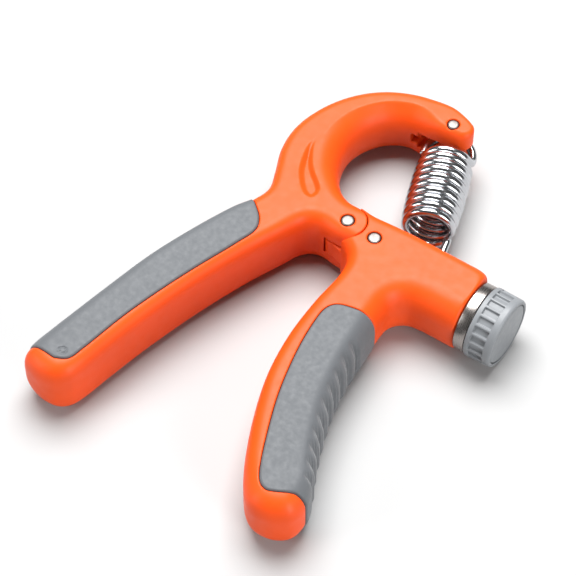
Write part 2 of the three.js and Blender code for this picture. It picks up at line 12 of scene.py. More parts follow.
import bpy
import numpy as np
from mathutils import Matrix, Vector


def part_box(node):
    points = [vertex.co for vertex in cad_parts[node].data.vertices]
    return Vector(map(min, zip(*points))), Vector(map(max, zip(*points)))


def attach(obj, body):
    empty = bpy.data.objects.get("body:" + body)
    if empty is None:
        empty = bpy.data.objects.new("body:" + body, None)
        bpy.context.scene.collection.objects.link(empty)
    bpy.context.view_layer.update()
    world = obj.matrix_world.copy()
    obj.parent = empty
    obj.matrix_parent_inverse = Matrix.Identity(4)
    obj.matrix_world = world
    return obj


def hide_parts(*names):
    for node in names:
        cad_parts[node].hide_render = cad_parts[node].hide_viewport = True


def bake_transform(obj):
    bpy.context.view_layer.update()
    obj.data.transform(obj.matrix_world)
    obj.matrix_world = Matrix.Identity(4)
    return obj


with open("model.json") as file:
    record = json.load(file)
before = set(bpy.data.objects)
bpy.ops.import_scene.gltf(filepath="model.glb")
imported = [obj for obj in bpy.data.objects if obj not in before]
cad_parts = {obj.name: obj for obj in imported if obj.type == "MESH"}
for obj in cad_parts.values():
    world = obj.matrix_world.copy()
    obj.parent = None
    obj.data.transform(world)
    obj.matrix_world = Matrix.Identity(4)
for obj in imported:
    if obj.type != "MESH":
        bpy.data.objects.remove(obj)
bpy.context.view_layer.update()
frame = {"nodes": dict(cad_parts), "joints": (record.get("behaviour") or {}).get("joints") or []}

# ---------------------------------------------------------------- driving sizes, millimetres

JOINTS = {joint["name"]: joint for joint in frame["joints"]}
PIVOT = np.array(JOINTS["handle_pivot"]["pos_m"])
PIVOT_POINT = (0.0, 0.0)


def from_frame(point):
    """A point of the frame, in metres, as millimetres from the pivot."""
    return (np.array(point) - PIVOT) * 1000


def centre_of(node):
    low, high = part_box(node)
    return from_frame((low + high) / 2)


HALF = 12.5
FRAME_INSET = 0.3
PAD_DEPTH = 2.0
PAD_GROOVE = 0.15
PAD_BACK_GAP = 0.15
PAD_BORDER_ROUND = 0.8

PIN_RADIUS = 2.2
SPRING_PIN_RADIUS = 1.95
PIN_WELL = 0.26
PIN_SINK = 0.15
SPRING_PIN = centre_of("spring_top_pin")[:2]
ANCHOR_PIN = centre_of("screw_anchor_pin")[:2]
CARRIAGE_PIN = centre_of("carriage_pin")[:2]
CARRIAGE_PIN_RADIUS = 1.75
CARRIAGE_PIN_HALF = 3.8

EAR_RADIUS = 6.5
EAR_REACH_Y = 20
TONGUE_RADIUS = 7.4
TONGUE_HALF = 3.5
TONGUE_STOP_X = -3
STOP_X = 0.4
LOWER_STOP_X = 1.6
GAP = 0.3

HOOK_SLOT_HALF = 2.0
HOOK_SLOT_START_X = -5.6
HOOK_SLOT_OPEN_Y = 52.6

TEARDROP_DEPTH = 1.5
TEARDROP_LEFT_SLOPE = 2.4
TEARDROP_RIGHT_SLOPE = 2.0

AXIS_Y = centre_of("adjuster_screw")[1]
HOUSING_END_X = from_frame(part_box("finger_handle_frame")[1])[0]
HOUSING_END_RADIUS = 12.2
HOUSING_TOP_Y = 8.6
HOUSING_BOTTOM_Y = -14.2
OUTLINE_END_X = HOUSING_END_X + 6
NOSE_LENGTH = 8
NOSE_FLARE = 5.2
NOSE_BOTTOM_Y = -18
NOSE_START_X = HOUSING_END_X - 12
WINDOW_X = (12.4, 44.5)
WINDOW_HALF = 4.2
WINDOW_LEAD_X = (9.2, 14.0)
WINDOW_LEAD_Y = 4.4
CARRIAGE_ROOM_X = (16.7, 60.0)
CARRIAGE_ROOM_RADIUS = 5.9

WIRE_RADIUS = 1.54
LOOP_WIRE_RADIUS = 1.3
COIL_RADIUS = 8.5
LOWER_LOOP_RADIUS = 7.2
COIL_START = 7.6
COIL_END = 38.2
COIL_TURNS = 10
STEPS_PER_TURN = 56

CARRIAGE_BARREL_RADIUS = 5.6
CARRIAGE_HALF_LENGTH = 4.5
CHEEK_RADIUS = 2.6
CHEEK_HALF_LENGTH = 3.4
CHEEK_OUTER_HALF = 3.9
HOOK_ROOM_HALF = 1.7
HOOK_ROOM_FLOOR_Y = 0.8
CARRIAGE_BORE_RADIUS = 2.8

RIB_PITCH = 5.74
RIB_DEPTH = 1.35
RIB_FADE = 0.7
RIB_INNER_REACH = 3.6
RIB_SLOPE = 2.8
RIB_SIDE_X = 22

GATE_MARK = (-48.2, -94.6)
GATE_MARK_RADIUS = 1.2
GATE_MARK_GROOVE_RADIUS = 0.32

MESH_PITCH = 0.5
PLAN_PITCH = 0.4


# ---------------------------------------------------------------- plan outlines

def spline(points):
    """A Catmull-Rom curve through the points, about one step every half millimetre."""
    points = np.array(points, float)
    out = []
    for i in range(len(points) - 1):
        p0 = points[max(i - 1, 0)]
        p1, p2 = points[i], points[i + 1]
        p3 = points[min(i + 2, len(points) - 1)]
        steps = max(2, int(np.linalg.norm(p2 - p1) / 0.5))
        t = (np.arange(steps) / steps)[:, None]
        out.append(
            0.5 * (2 * p1 + (p2 - p0) * t + (2 * p0 - 5 * p1 + 4 * p2 - p3) * t**2
                   + (3 * p1 - p0 - 3 * p2 + p3) * t**3)
        )
    return np.vstack(out + [points[-1:]])


def arc(centre, radius, start_degrees, end_degrees):
    angles = np.radians(np.linspace(start_degrees, end_degrees, 24))
    return np.stack([centre[0] + radius * np.cos(angles), centre[1] + radius * np.sin(angles)], 1)


def outline(start, *runs):
    """A closed outline from its runs.

    A run is ("smooth", points), ("straight", points) or ("arc", centre, radius, from, to).
    """
    path = [np.array([start], float)]
    for kind, *what in runs:
        last = path[-1][-1:]
        if kind == "smooth":
            path.append(spline(np.vstack([last, what[0]])))
        elif kind == "straight":
            path.append(np.array(what[0], float))
        else:
            path.append(arc(*what))
    points = np.vstack(path + [path[0]])
    lengths = np.concatenate([[0], np.cumsum(np.linalg.norm(np.diff(points, axis=0), axis=1))])
    at = np.linspace(0, lengths[-1], int(lengths[-1] / 0.5), endpoint=False)
    return np.stack([np.interp(at, lengths, points[:, k]) for k in (0, 1)], 1)


PALM_OUTLINE = outline(
    (22, 8.2),
    ("straight", [(6, 8.1)]),
    ("smooth", [(0, 8.5), (-5, 9.6), (-10, 12.8), (-14.8, 18.8), (-17.8, 25.5), (-18.7, 32.5),
                (-17, 39.5), (-12.6, 45.8), (-6.5, 49.3), (1, 49.9)]),
    ("arc", (11.4, 55.3), 4.4, -90, 50),
    ("smooth", [(10, 60.6), (4, 62.3), (-4, 62), (-12, 59.9), (-20, 55.8), (-27, 49.7),
                (-32.8, 41.5), (-36.6, 32), (-37.9, 23), (-36.6, 14), (-33.2, 5.5), (-30.7, -2),
                (-32.4, -8.6), (-36.4, -15.6), (-42.2, -29.5), (-48.2, -47), (-53.2, -67),
                (-57.4, -85), (-60.4, -95.6), (-59.6, -101.6), (-53.2, -104.5), (-46.2, -104.1),
                (-41.9, -100.4), (-40, -94.5), (-37.9, -84), (-34.2, -67.5), (-28.6, -47.5),
                (-22, -29.3), (-15.9, -15.6), (-12.3, -8.4), (-8.2, -5.9), (-3, -6)]),
    ("straight", [(22, -6.6)]),
)

FINGER_OUTLINE = outline(
    (-16, 8.7),
    ("straight", [(0, 8.7)]),
    ("smooth", [(6, 7.9), (13, 8.3), (20, HOUSING_TOP_Y)]),
    ("straight", [(OUTLINE_END_X, HOUSING_TOP_Y), (OUTLINE_END_X, HOUSING_BOTTOM_Y),
                  (38, HOUSING_BOTTOM_Y)]),
    ("smooth", [(33, -14.9), (29.6, -18), (28.8, -23), (29.5, -36), (30.8, -49), (33.8, -62.7),
                (38.9, -77.2), (45, -90.3), (47, -97.6), (45.6, -103.4), (40.4, -107.1),
                (33.6, -107.6), (28.2, -104.2), (22.1, -95), (15.1, -79.6), (10, -63.7),
                (7.5, -47.5), (7.3, -32), (8, -19), (6.8, -12), (3, -8), (-2, -6.3)]),
    ("straight", [(-16, -6)]),
)

PALM_PAD_ZONE = outline(
    (-70, -8),
    ("straight", [(-34, -8), (-29.5, -11.5)]),
    ("smooth", [(-25.4, -15.4), (-23.6, -20.5), (-26, -28.5), (-33.2, -49), (-39.4, -70.5),
                (-43.2, -89), (-45, -95.7), (-49, -98.2)]),
    ("straight", [(-53, -97.9), (-70, -97)]),
)

FINGER_PAD_ZONE = outline(
    (60, -27),
    ("straight", [(32, -27)]),
    ("smooth", [(28, -28), (21, -29), (16, -30.5), (13.5, -33.5), (13, -39), (14.5, -52), (18.5, -69),
                (24.5, -85.5), (30, -97.5), (34, -101), (38, -100), (43, -97)]),
    ("straight", [(48, -96), (60, -95)]),
)

# The teardrop hollow lies right of the first of these edges and left of the second.
TEAR_LEFT = outline(
    (-28.1, 25.6),
    ("smooth", [(-28.9, 20), (-27.9, 14.7), (-26.1, 9.7), (-24, 6.3), (-21, 2.9), (-18.4, 1.1),
                (-15.8, 0.8), (-14.4, 2.2), (-13.9, 4.8)]),
    ("straight", [(-2, 12), (-2, 34), (-28.1, 34)]),
)
TEAR_RIGHT = outline(
    (-28.1, 25.6),
    ("straight", [(-28.1, 34), (-44, 34), (-44, -8), (-13.2, -8), (-13.2, 3.6)]),
    ("smooth", [(-13.9, 4.8), (-15.2, 6.8), (-17.2, 8.7), (-19.9, 10.9), (-22.5, 13.6),
                (-24.6, 16.7), (-26.6, 20.5), (-28.1, 25.6)]),
)

# Edge rounding at places along each outline: x, y, reach in the plan, reach through the thickness.
PALM_EDGES = [
    (22, 8.2, 4, 4), (3, 8.2, 4, 4), (-5, 9.6, 6, 8), (-14, 18.5, 8.5, 11.5), (-18.7, 32.5, 9.5, 12),
    (-12.6, 45.8, 10, 12), (-6.5, 49.3, 9.5, 12), (-1, 49.9, 6.5, 9.5), (4, 49.9, 3.2, 5.5),
    (11, 50.5, 2.6, 4), (15.8, 52.5, 2.6, 3.4), (16.4, 55, 1.8, 2), (12, 60, 1.8, 2),
    (4, 62.3, 2.8, 3), (-4, 62, 4, 4.5), (-27, 49.7, 4, 4.5), (-37.9, 23, 4, 4.5),
    (-30.7, -2, 4, 4), (-48.2, -47, 4.5, 5),
    (-57.4, -85, 5.5, 7), (-60.4, -95.6, 7.5, 10.5), (-59.6, -101.6, 7.5, 10.5), (-53.2, -104.5, 7, 9),
    (-46.2, -104.1, 6.5, 8), (-40, -94.5, 5, 6), (-28.6, -47.5, 4.5, 5.5), (-15.9, -15.6, 5, 7),
    (-8.2, -5.9, 6, 8), (0, -6.2, 5, 6), (22, -6.6, 5, 6),
]
FINGER_EDGES = [
    (-16, 8.7, 4, 4), (20, HOUSING_TOP_Y, 4, 4), (OUTLINE_END_X, HOUSING_TOP_Y, 4, 4),
    (OUTLINE_END_X, HOUSING_BOTTOM_Y, 9, 10), (38, HOUSING_BOTTOM_Y, 9, 10), (29.6, -18, 8, 10),
    (28.8, -36, 6.5, 10.5), (33, -63, 6.5, 10.5), (44.6, -90.5, 5.5, 7), (47, -97.6, 8.5, 9),
    (37, -107.6, 8.5, 9), (28.2, -104.2, 8, 9), (22.1, -95, 6, 7), (10, -63.7, 4.5, 5),
    (7.3, -32, 4.5, 5), (6.8, -12, 5, 7), (-2, -6.3, 4, 5), (-16, -6, 4, 5),
]
EDGE_POWER = 2.2


def blurred(field, steps):
    """The field smoothed by repeated averaging of neighbours in both directions."""
    for _ in range(steps):
        for axis in (0, 1):
            field = (np.roll(field, 1, axis) + field + np.roll(field, -1, axis)) / 3
    return field


class Plan:
    """An outline seen from above: signed distance to it, its edge rounding, and the way along it."""

    def __init__(self, points, edges=((0, 0, 4, 4),), margin=8):
        self.low = points.min(0) - margin
        shape = np.ceil((points.max(0) + margin - self.low) / PLAN_PITCH).astype(int) + 1
        xs = self.low[0] + PLAN_PITCH * np.arange(shape[0])
        ys = self.low[1] + PLAN_PITCH * np.arange(shape[1])
        nearest = np.array([
            np.argmin((xs[i] - points[:, 0]) ** 2 + (ys[:, None] - points[:, 1]) ** 2, axis=1)
            for i in range(len(xs))
        ])
        here = np.stack(np.meshgrid(xs, ys, indexing="ij"), -1)
        ahead = self._to_segment(here, points, nearest, 1)
        behind = self._to_segment(here, points, nearest, -1)
        gap = np.minimum(ahead, behind)
        self.distance = np.where(self._inside(xs, ys, points), -gap, gap)
        self.along = nearest * np.linalg.norm(points[1] - points[0])
        marks = np.array(edges, float)
        at = [int(np.argmin(((points - mark[:2]) ** 2).sum(1))) for mark in marks]
        order = np.argsort(at)
        count = len(points)
        index = np.concatenate([[at[order[-1]] - count], np.array(at)[order], [at[order[0]] + count]])
        self.edges = []
        for column in (2, 3):
            values = marks[order, column]
            values = np.concatenate([values[-1:], values, values[:1]])
            self.edges.append(blurred(np.interp(nearest, index, values), 12))

    @staticmethod
    def _to_segment(here, points, nearest, step):
        start = points[nearest]
        run = points[(nearest + step) % len(points)] - start
        share = ((here - start) * run).sum(-1) / np.maximum((run * run).sum(-1), 1e-12)
        return np.linalg.norm(here - start - np.clip(share, 0, 1)[..., None] * run, axis=-1)

    @staticmethod
    def _inside(xs, ys, points):
        ends = np.roll(points, -1, axis=0)
        inside = np.zeros((len(xs), len(ys)), bool)
        for j, y in enumerate(ys):
            cut = (points[:, 1] > y) != (ends[:, 1] > y)
            a, b = points[cut], ends[cut]
            crossings = np.sort(a[:, 0] + (y - a[:, 1]) / (b[:, 1] - a[:, 1]) * (b[:, 0] - a[:, 0]))
            inside[:, j] = np.searchsorted(crossings, xs) % 2 == 1
        return inside

    def look(self, field, x, y):
        """The field at x, y, between its grid points."""
        u = np.clip((x - self.low[0]) / PLAN_PITCH, 0, field.shape[0] - 1.001)
        v = np.clip((y - self.low[1]) / PLAN_PITCH, 0, field.shape[1] - 1.001)
        i, j = u.astype(int), v.astype(int)
        u, v = u - i, v - j
        low = field[i, j] * (1 - u) + field[i + 1, j] * u
        high = field[i, j + 1] * (1 - u) + field[i + 1, j + 1] * u
        return low * (1 - v) + high * v

    def to_edge(self, x, y):
        return self.look(self.distance, x, y)

    def plate(self, x, y, z, inset):
        """Distance to the outline's plate with its rounded edges, shrunk all round by inset."""
        reach, rise = (self.look(field, x, y) for field in self.edges)
        across = self.to_edge(x, y) + inset + reach
        through = (np.abs(z) - HALF + inset + rise) * reach / rise
        corner = np.maximum(across, 0) ** EDGE_POWER + np.maximum(through, 0) ** EDGE_POWER
        return corner ** (1 / EDGE_POWER) + np.minimum(np.maximum(across, through), 0) - reach


# ---------------------------------------------------------------- distance functions

def smooth_max(a, b, radius):
    """The larger of two distances, with the corner between them rounded off."""
    near = np.maximum(radius - np.abs(a - b), 0) / radius
    return np.maximum(a, b) + near * near * radius / 4


def carved(body, cutter, radius=0.5):
    return smooth_max(body, -cutter, radius)


def ramp(t):
    t = np.clip(t, 0, 1)
    return t * t * (3 - 2 * t)


def bar_z(x, y, centre, radius):
    return np.hypot(x - centre[0], y - centre[1]) - radius


def bar_x(y, z, radius):
    return np.hypot(y - AXIS_Y, z) - radius


def between(t, low, high):
    return np.maximum(low - t, t - high)


def teardrop_depth(x, y):
    """The hollow in each face: sloping sides down to a level floor."""
    from_left = ramp(np.maximum(-TEAR_LEFT_SIDE.to_edge(x, y), 0) / TEARDROP_LEFT_SLOPE)
    from_right = ramp(np.maximum(-TEAR_RIGHT_SIDE.to_edge(x, y), 0) / TEARDROP_RIGHT_SLOPE)
    return TEARDROP_DEPTH * from_left * from_right


def palm_frame(x, y, z):
    whole = PALM.plate(x, y, z, FRAME_INSET)
    hollow = teardrop_depth(x, y)
    body = np.maximum(whole, np.abs(z) - HALF + FRAME_INSET + hollow)
    pocket = np.maximum(PALM_PAD.to_edge(x, y) - PAD_GROOVE, -(whole + PAD_DEPTH))
    body = carved(body, pocket)
    rho = np.hypot(x, y)
    beyond_ear = np.maximum(np.where(y >= 0, STOP_X - x, -x), EAR_RADIUS - rho)
    body = carved(body, np.maximum(beyond_ear, np.abs(y) - EAR_REACH_Y))
    slot = np.minimum(rho - TONGUE_RADIUS - GAP, np.where(y >= 0, TONGUE_STOP_X - x, -x))
    body = carved(body, np.maximum(slot, np.abs(z) - TONGUE_HALF - GAP))
    body = carved(body, hook_slot(x, y, z), 0.6)
    body = carved(body, bar_z(x, y, SPRING_PIN, SPRING_PIN_RADIUS + PIN_WELL))
    return carved(body, bar_z(x, y, PIVOT_POINT, PIN_RADIUS + PIN_WELL))


def hook_slot(x, y, z):
    """Slot in the hook's tip: round the spring's upper loop, and open below."""
    bend = spring_point(COIL_RADIUS - loop_reach(SPRING_PIN_RADIUS, WIRE_RADIUS), 0)
    room = bar_z(x, y, bend, COIL_RADIUS + WIRE_RADIUS + 0.4)
    below = np.maximum(y - HOOK_SLOT_OPEN_Y, HOOK_SLOT_START_X - x)
    opening = np.minimum(np.maximum(room, HOOK_SLOT_START_X - x), below)
    return np.maximum(opening, np.abs(z) - HOOK_SLOT_HALF)


def palm_pad(x, y, z):
    body = smooth_max(PALM.plate(x, y, z, 0), PALM_PAD.to_edge(x, y), PAD_BORDER_ROUND)
    ring = np.hypot(bar_z(x, y, GATE_MARK, GATE_MARK_RADIUS), z - HALF) - GATE_MARK_GROOVE_RADIUS
    body = carved(body, ring, 0.2)
    return carved(body, PALM.plate(x, y, z, FRAME_INSET) + PAD_DEPTH - PAD_BACK_GAP, 0.4)


def finger_body(x, y, z, inset):
    """The plate, with the housing's end rounded down to the collar."""
    deep_inside = -6.0
    reach = np.clip((x - HOUSING_END_X + NOSE_LENGTH) / NOSE_LENGTH, 0, 1)
    radius = HOUSING_END_RADIUS + NOSE_FLARE * np.sqrt(1 - reach**2 + 1e-6)
    nose = np.where(y < NOSE_BOTTOM_Y, deep_inside, bar_x(y, z, radius))
    nose = np.where(x < NOSE_START_X, deep_inside, nose)
    body = smooth_max(FINGER.plate(x, y, z, inset), nose, 2.5)
    return smooth_max(body, x - HOUSING_END_X, 1.0)


def finger_frame(x, y, z):
    whole = finger_body(x, y, z, FRAME_INSET)
    pocket = np.maximum(FINGER_PAD.to_edge(x, y) - PAD_GROOVE, -(whole + PAD_DEPTH))
    body = carved(whole, pocket)
    rho = np.hypot(x, y)
    stop = np.where(y >= 0, x - STOP_X - GAP, x - LOWER_STOP_X)
    ear_room = np.minimum(rho - EAR_RADIUS - GAP, stop)
    body = carved(body, np.maximum(ear_room, TONGUE_HALF - np.abs(z)))
    body = carved(body, np.maximum(TONGUE_RADIUS - rho, x))
    body = carved(body, housing_room(x, y, z))
    body = carved(body, bar_z(x, y, ANCHOR_PIN, PIN_RADIUS + PIN_WELL))
    return carved(body, bar_z(x, y, PIVOT_POINT, PIN_RADIUS + PIN_WELL))


def housing_room(x, y, z):
    """The bore that the carriage slides in, and the window that the spring's hook comes in by."""
    bore = np.maximum(bar_x(y, z, CARRIAGE_ROOM_RADIUS), between(x, *CARRIAGE_ROOM_X))
    window = np.maximum(between(x, *WINDOW_X), AXIS_Y - y)
    lead = np.maximum(between(x, *WINDOW_LEAD_X), WINDOW_LEAD_Y - y)
    return np.minimum(bore, np.maximum(np.minimum(window, lead), np.abs(z) - WINDOW_HALF))


def rib_relief(x, y):
    """How far the finger ribs cut in: round grooves that fade out on the flat sides."""
    way = FINGER.look(FINGER.along, x, y) - RIB_START
    groove = (1 - np.abs(np.sin(math.pi * way / RIB_PITCH))) ** 1.1
    ends = ramp(way / RIB_PITCH + RIB_FADE) * ramp((RIB_LENGTH - way) / RIB_PITCH + RIB_FADE)
    side = ramp((FINGER.to_edge(x, y) + RIB_INNER_REACH) / RIB_SLOPE)
    return RIB_DEPTH * groove * ends * side * (x > RIB_SIDE_X)


def finger_pad(x, y, z):
    outside = finger_body(x, y, z, 0) + rib_relief(x, y)
    body = smooth_max(outside, FINGER_PAD.to_edge(x, y), PAD_BORDER_ROUND)
    return carved(body, finger_body(x, y, z, FRAME_INSET) + PAD_DEPTH - PAD_BACK_GAP, 0.4)


def carriage(x, y, z):
    """Brass nut: a barrel with two cheeks that carry the lower spring pin."""
    from_middle = np.abs(x - CARRIAGE_PIN[0])
    barrel = np.maximum(bar_x(y, z, CARRIAGE_BARREL_RADIUS), from_middle - CARRIAGE_HALF_LENGTH)
    cheek_top = bar_z(x, y, CARRIAGE_PIN, CHEEK_RADIUS)
    cheek_foot = np.maximum(from_middle - CHEEK_HALF_LENGTH, between(y, AXIS_Y, CARRIAGE_PIN[1]))
    cheeks = np.maximum(np.minimum(cheek_top, cheek_foot), np.abs(z) - CHEEK_OUTER_HALF)
    body = -smooth_max(-barrel, -cheeks, 0.4)
    body = carved(body, np.maximum(HOOK_ROOM_FLOOR_Y - y, np.abs(z) - HOOK_ROOM_HALF), 0.3)
    body = carved(body, bar_x(y, z, CARRIAGE_BORE_RADIUS), 0.3)
    return carved(body, bar_z(x, y, CARRIAGE_PIN, CARRIAGE_PIN_RADIUS + 0.1), 0.3)


# ---------------------------------------------------------------- meshes

def to_frame(points):
    return np.asarray(points) / 1000 + PIVOT


def new_mesh(name, points, faces, sharp_degrees=None):
    mesh = bpy.data.meshes.new(name)
    mesh.from_pydata(to_frame(points).tolist(), [], [list(map(int, face)) for face in faces])
    mesh.shade_smooth()
    if sharp_degrees:
        mesh.set_sharp_from_angle(angle=math.radians(sharp_degrees))
    made = bpy.data.objects.new(name, mesh)
    bpy.context.scene.collection.objects.link(made)
    return made


def surface_net(values):
    """Points and quads of the surface where the values on a grid pass zero, in grid steps."""
    inside = values < 0
    shape = np.array(values.shape) - 1
    corners = [(i, j, k) for i in (0, 1) for j in (0, 1) for k in (0, 1)]
    count = sum(
        inside[i:shape[0] + i, j:shape[1] + j, k:shape[2] + k].astype(np.int8) for i, j, k in corners
    )
    cells = np.argwhere((count > 0) & (count < 8))
    number = np.full(shape, -1, np.int64)
    number[tuple(cells.T)] = np.arange(len(cells))
    total, hits = np.zeros((len(cells), 3)), np.zeros(len(cells))
    quads = []
    for axis in range(3):
        step = np.eye(3, dtype=int)[axis]
        across = [a for a in range(3) if a != axis]
        for corner in corners:
            if corner[axis]:
                continue
            start = cells + corner
            a, b = values[tuple(start.T)], values[tuple((start + step).T)]
            cut = (a < 0) != (b < 0)
            share = np.where(cut, a / np.where(cut, a - b, 1), 0)
            total += np.where(cut[:, None], np.array(corner) + share[:, None] * step, 0)
            hits += cut
        first = np.moveaxis(inside, axis, 0)[:-1]
        second = np.moveaxis(inside, axis, 0)[1:]
        edges = np.moveaxis(first != second, 0, axis)
        edges = np.argwhere(edges)
        edges = edges[(edges[:, across] > 0).all(1) & (edges[:, across] < shape[across]).all(1)]
        starts_inside = inside[tuple(edges.T)]
        around = []
        for u, v in ((-1, -1), (0, -1), (0, 0), (-1, 0)):
            cell = edges.copy()
            cell[:, across[0]] += u
            cell[:, across[1]] += v
            around.append(number[tuple(cell.T)])
        quad = np.stack(around, 1)
        flip = starts_inside == (axis == 1)
        quad[flip] = quad[flip][:, ::-1]
        quads.append(quad)
    return cells + total / hits[:, None], np.vstack(quads)


def slope(solid, points, step=0.12):
    """The distance function's gradient at the points."""
    columns = []
    for axis in range(3):
        ahead, behind = points.copy(), points.copy()
        ahead[:, axis] += step
        behind[:, axis] -= step
        columns.append((solid(*ahead.T) - solid(*behind.T)) / (2 * step))
    return np.stack(columns, 1)


def solid_piece(name, solid, low, high, pitch=MESH_PITCH):
    """A closed mesh of the solid inside the box, with every point settled on its surface."""
    xs, ys, zs = (np.arange(a, b + pitch, pitch) for a, b in zip(low, high))
    values = solid(xs[:, None, None], ys[None, :, None], zs[None, None, :])
    steps, quads = surface_net(np.broadcast_to(values, (len(xs), len(ys), len(zs))))
    points = np.array([xs[0], ys[0], zs[0]]) + pitch * steps
    for _ in range(4):
        gradient = slope(solid, points)
        size = np.maximum((gradient**2).sum(1), 0.05)
        move = (solid(*points.T) / size)[:, None] * gradient
        points = points - np.clip(move, -pitch / 2, pitch / 2)
    made = new_mesh(name, points, quads)
    normals = slope(solid, points)
    normals /= np.maximum(np.linalg.norm(normals, axis=1), 1e-9)[:, None]
    made.data.normals_split_custom_set_from_vertices(normals.tolist())
    return made


def revolved(name, profile, segments, relief=None, sharp_degrees=35):
    """A piece turned about the adjuster's axis from (x, radius) points, all radii above zero.

    The first and last points close on the axis unless they are the same point, which makes a ring.
    relief(x, angle, radius) may change the radius at each place.
    """
    profile = np.array(profile, float)
    ring = np.allclose(profile[0], profile[-1])
    if ring:
        profile = profile[:-1]
    angles = np.arange(segments) / segments * 2 * math.pi
    x = np.repeat(profile[:, :1], segments, 1)
    radius = np.repeat(profile[:, 1:], segments, 1)
    if relief:
        radius = relief(x, angles[None, :], radius)
    points = np.stack([x, AXIS_Y + radius * np.cos(angles), radius * np.sin(angles)], -1)
    points = points.reshape(-1, 3)
    rows = len(profile)
    faces = []
    for i in range(rows if ring else rows - 1):
        for j in range(segments):
            k = (j + 1) % segments
            a, b = i * segments, (i + 1) % rows * segments
            faces.append((a + j, a + k, b + k, b + j))
    if not ring:
        ends = [[profile[0][0], AXIS_Y, 0], [profile[-1][0], AXIS_Y, 0]]
        first, last = len(points), len(points) + 1
        points = np.vstack([points, ends])
        top = (rows - 1) * segments
        for j in range(segments):
            k = (j + 1) % segments
            faces.append((first, k, j))
            faces.append((last, top + j, top + k))
    return new_mesh(name, points, faces, sharp_degrees)


def softened(profile, radius, steps=4):
    """The profile with a small round at each corner, apart from the two ends of an open one."""
    profile = np.array(profile, float)
    ring = np.allclose(profile[0], profile[-1])
    core = profile[:-1] if ring else profile
    out = []
    for i, corner in enumerate(core):
        if not ring and i in (0, len(core) - 1):
            out.append(corner)
            continue
        before, after = core[i - 1] - corner, core[(i + 1) % len(core)] - corner
        reach = min(radius, 0.45 * np.linalg.norm(before), 0.45 * np.linalg.norm(after))
        start = corner + before / np.linalg.norm(before) * reach
        end = corner + after / np.linalg.norm(after) * reach
        for t in np.linspace(0, 1, steps):
            out.append((1 - t) ** 2 * start + 2 * t * (1 - t) * corner + t * t * end)
    if ring:
        out.append(out[0])
    return out


def swept(name, path, radius, facets=20):
    """A round wire along the path with slightly rounded ends, and the path point of each mesh point."""
    path = np.array(path, float)
    radii = np.broadcast_to(radius, len(path))
    tangents = np.gradient(path, axis=0)
    tangents /= np.linalg.norm(tangents, axis=1)[:, None]
    side = np.cross(tangents[0], (0.3, 0.2, 0.9))
    side /= np.linalg.norm(side)
    angles = np.arange(facets) / facets * 2 * math.pi
    rings = []
    sides = []
    for tangent in tangents:
        side = side - tangent * (side @ tangent)
        side /= np.linalg.norm(side)
        sides.append(side)
    for centre, tangent, side, reach in zip(path, tangents, sides, radii):
        up = np.cross(tangent, side)
        rings.append(centre + reach * (np.cos(angles)[:, None] * side + np.sin(angles)[:, None] * up))
    for end, sign in ((0, -1), (-1, 1)):
        centre, tangent = path[end], tangents[end] * sign
        flat = centre + (rings[end] - centre) * 0.8 + tangent * 0.25
        rings = [flat] + rings if sign < 0 else rings + [flat]
    count = len(rings)
    points = np.vstack(rings + [[path[0] - tangents[0] * 0.3], [path[-1] + tangents[-1] * 0.3]])
    faces = []
    for i in range(count - 1):
        for j in range(facets):
            k = (j + 1) % facets
            faces.append((i * facets + j, i * facets + k, (i + 1) * facets + k, (i + 1) * facets + j))
    for j in range(facets):
        k = (j + 1) % facets
        faces.append((count * facets, k, j))
        faces.append((count * facets + 1, (count - 1) * facets + j, (count - 1) * facets + k))
    last = len(path) - 1
    ring_of = np.clip(np.repeat(np.arange(count), facets) - 1, 0, last)
    return new_mesh(name, points, faces), np.concatenate([ring_of, [0, last]])


# ---------------------------------------------------------------- materials

